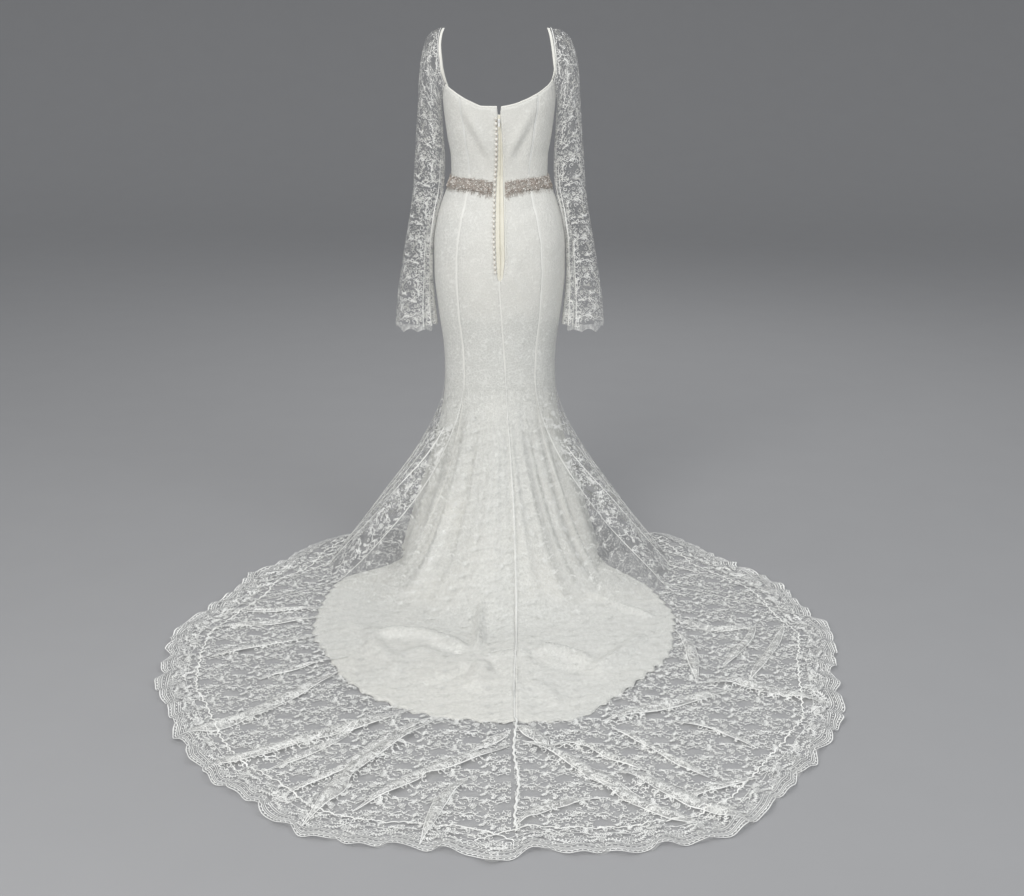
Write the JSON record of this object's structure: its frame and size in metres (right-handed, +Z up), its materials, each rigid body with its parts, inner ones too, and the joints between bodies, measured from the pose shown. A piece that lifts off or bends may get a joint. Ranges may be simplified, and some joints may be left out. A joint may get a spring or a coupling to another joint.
{
  "type": "wedding dress",
  "caption": "Ivory fit-and-flare wedding gown with long lace bell sleeves, a beaded belt, a buttoned zip back and a lace train.",
  "frame": {"origin": "midway between the undersides of the two shoulder straps, where the wearer's shoulders hold the gown", "axes": "+Z up, +Y towards the wearer's back along the train, +X towards the wearer's left"},
  "size_m": [1.6679, 1.9718, 1.4639],
  "materials": {
    "satin_and_lace": "matte satin with lace laid flat on it",
    "lace": "matte lace on fine net",
    "binding": "satin binding",
    "beaded_trim": "small champagne beads on net",
    "zip_tape": "woven tape",
    "zip_slider": "white enamel",
    "covered_button": "satin over a dome"
  },
  "bodies": {
    "gown": {"front": "satin_and_lace", "side_front_left": "satin_and_lace", "side_front_right": "satin_and_lace", "side_back_left": "satin_and_lace", "side_back_right": "satin_and_lace", "back_left": "satin_and_lace", "back_right": "satin_and_lace", "lace_front": "lace", "lace_side_front_left": "lace", "lace_side_front_right": "lace", "lace_side_back_left": "lace", "lace_side_back_right": "lace", "lace_back_left": "lace", "lace_back_right": "lace", "sleeve_left": "lace", "sleeve_right": "lace", "strap_left": "binding", "strap_right": "binding", "neck_binding_back_left": "binding", "neck_binding_back_right": "binding", "neck_binding_front": "binding", "button_loop_strip": "binding", "belt": "beaded_trim", "zip_tape_left": "zip_tape", "zip_tape_right": "zip_tape", "zip_slider": "zip_slider", "button_01": "covered_button", "button_02": "covered_button", "button_03": "covered_button", "button_04": "covered_button", "button_05": "covered_button", "button_06": "covered_button", "button_07": "covered_button", "button_08": "covered_button", "button_09": "covered_button", "button_10": "covered_button", "button_11": "covered_button", "button_12": "covered_button", "button_13": "covered_button", "button_14": "covered_button", "button_15": "covered_button", "button_16": "covered_button", "button_17": "covered_button", "button_18": "covered_button", "button_19": "covered_button", "button_20": "covered_button", "button_21": "covered_button", "button_22": "covered_button", "button_23": "covered_button", "button_24": "covered_button", "button_25": "covered_button", "button_26": "covered_button", "button_27": "covered_button", "button_28": "covered_button", "button_29": "covered_button", "button_30": "covered_button", "button_31": "covered_button"},
    "zip_pull": {"zip_pull_tab": "zip_slider"}
  },
  "joints": [
    {"name": "pull_tab_hinge", "type": "hinge", "parent": "gown", "child": "zip_pull", "pos_m": [0, 0.10708, -0.22968], "axis": [1, 0, 0], "range_deg": [0, 160]}
  ]
}
